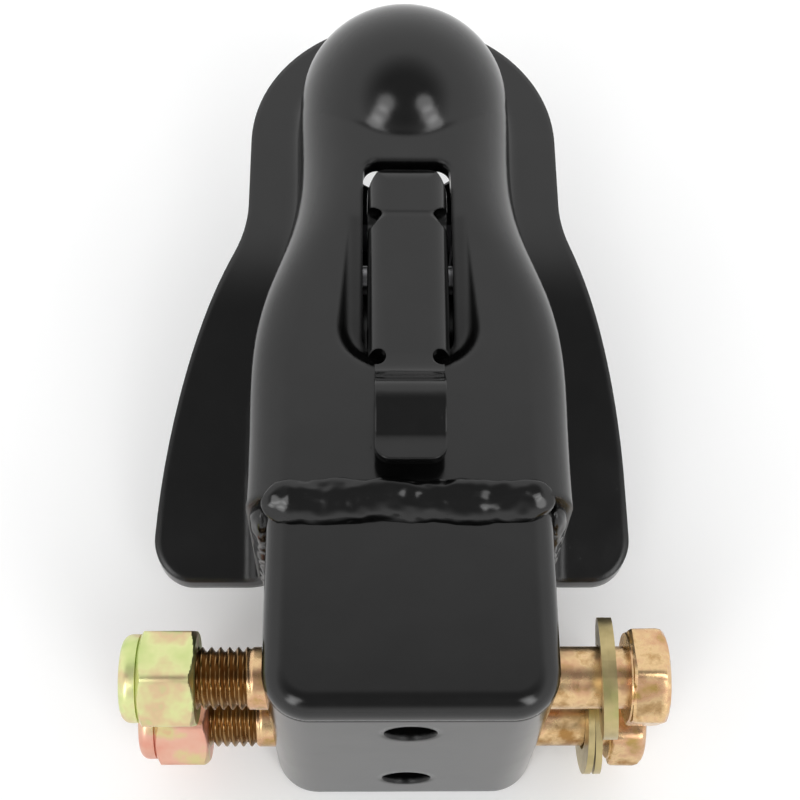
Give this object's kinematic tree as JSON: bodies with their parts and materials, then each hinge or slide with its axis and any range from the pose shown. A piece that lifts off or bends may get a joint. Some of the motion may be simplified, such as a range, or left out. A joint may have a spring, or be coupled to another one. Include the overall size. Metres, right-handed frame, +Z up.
{
  "type": "trailer ball coupling",
  "caption": "Pressed steel ball coupler with a lift lever and spring wedge latch, welded to an upright square tongue that two cross bolts fix in a channel.",
  "frame": {"origin": "centre of the tow ball when seated in the socket", "axes": "+Y towards the towing vehicle, +Z up, +X to the right"},
  "size_m": [0.1385, 0.232, 0.1005],
  "materials": {
    "black_enamel": "gloss",
    "yellow_zinc": "yellow zinc plate",
    "plain_steel": "turned",
    "nylon": "moulded",
    "cast_iron": "cast",
    "spring_steel": "drawn wire"
  },
  "bodies": {
    "coupler": {"housing": "black_enamel", "tongue_tube": "black_enamel", "cap_plate": "black_enamel", "top_weld": "black_enamel", "left_weld": "black_enamel", "right_weld": "black_enamel", "latch_bracket": "black_enamel", "upper_bolt": "yellow_zinc", "upper_nut": "yellow_zinc", "upper_inner_washer": "yellow_zinc", "upper_outer_washer": "yellow_zinc", "lower_bolt": "yellow_zinc", "lower_nut": "yellow_zinc", "lower_inner_washer": "yellow_zinc", "lower_outer_washer": "yellow_zinc", "lever_pivot_pin": "plain_steel", "pivot_clip": "plain_steel", "spring_post": "plain_steel", "upper_nut_insert": "nylon", "lower_nut_insert": "nylon", "latch_spring": "spring_steel"},
    "latch_lever": {"lever": "black_enamel", "drive_pin": "plain_steel"},
    "wedge": {"latch_wedge": "cast_iron"}
  },
  "joints": [
    {"name": "lever_lift", "type": "hinge", "parent": "coupler", "child": "latch_lever", "pos_m": [0, -0.064, 0.007], "axis": [-1, 0, 0], "range_deg": [0, 40], "stiffness_Nm_per_rad": 0.4, "springref_deg": -24.64},
    {"name": "wedge_slide", "type": "slide", "parent": "coupler", "child": "wedge", "axis": [0, -1, 0], "range_m": [0, 0.0129], "deforming": ["latch_spring"]}
  ],
  "couplings": [
    {"joint": "wedge_slide", "follows": "lever_lift", "m_per_rad": 0.018415}
  ]
}
